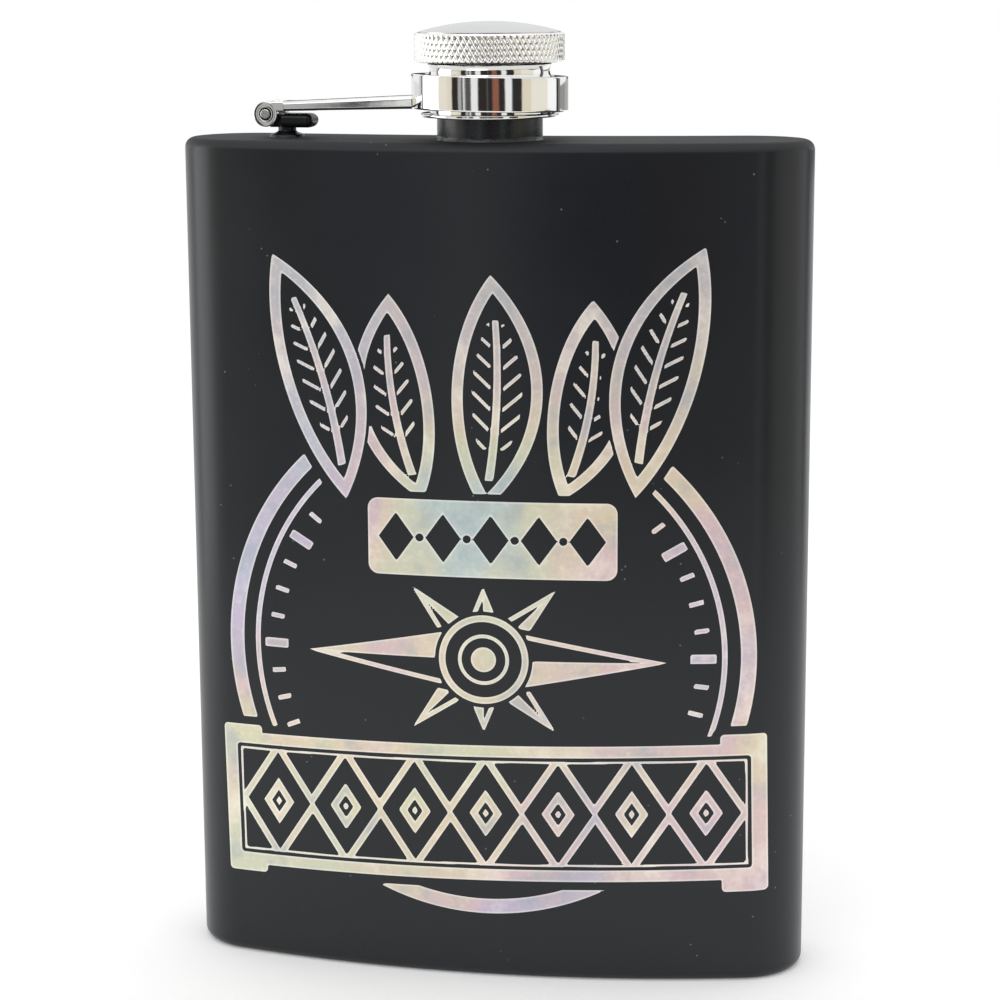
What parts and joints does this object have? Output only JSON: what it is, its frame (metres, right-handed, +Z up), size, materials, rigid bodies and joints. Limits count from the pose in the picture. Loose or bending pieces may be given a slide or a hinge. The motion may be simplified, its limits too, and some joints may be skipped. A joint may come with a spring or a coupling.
{
  "type": "hip flask",
  "caption": "Flat curved pocket flask with a threaded spout and a captive screw cap on a hinged arm.",
  "frame": {"origin": "on the axis of the spout and cap, at the flat underside of the base, halfway through the flask's thickness there", "axes": "+Z up along the spout's axis, -Y towards the swelling front face, +X towards the side away from the hinge"},
  "size_m": [0.095, 0.0254, 0.1436],
  "materials": {
    "black_coat": "satin powder coat over steel sheet",
    "black_coat_fittings": "satin coat over turned steel",
    "polished_chrome": "polished",
    "satin_steel": "satin",
    "seal_silicone": "matte"
  },
  "bodies": {
    "flask": {"body_band": "black_coat", "base_plate": "black_coat", "top_plate": "black_coat", "neck": "black_coat_fittings", "hinge_post": "black_coat_fittings", "hinge_pin": "satin_steel"},
    "arm": {"cap_arm": "polished_chrome"},
    "cap": {"cap_sleeve": "polished_chrome", "cap_head": "satin_steel", "seal_disc": "seal_silicone"}
  },
  "joints": [
    {"name": "arm_swing", "type": "hinge", "parent": "flask", "child": "arm", "pos_m": [-0.03425, 0.00371, 0.12985], "axis": [-0.1078, -0.9942, 0], "range_deg": [0, 180]},
    {"name": "cap_spin", "type": "hinge", "parent": "arm", "child": "cap", "pos_m": [0, 0, 0.1384], "axis": [0, 0, 1], "continuous": true}
  ]
}
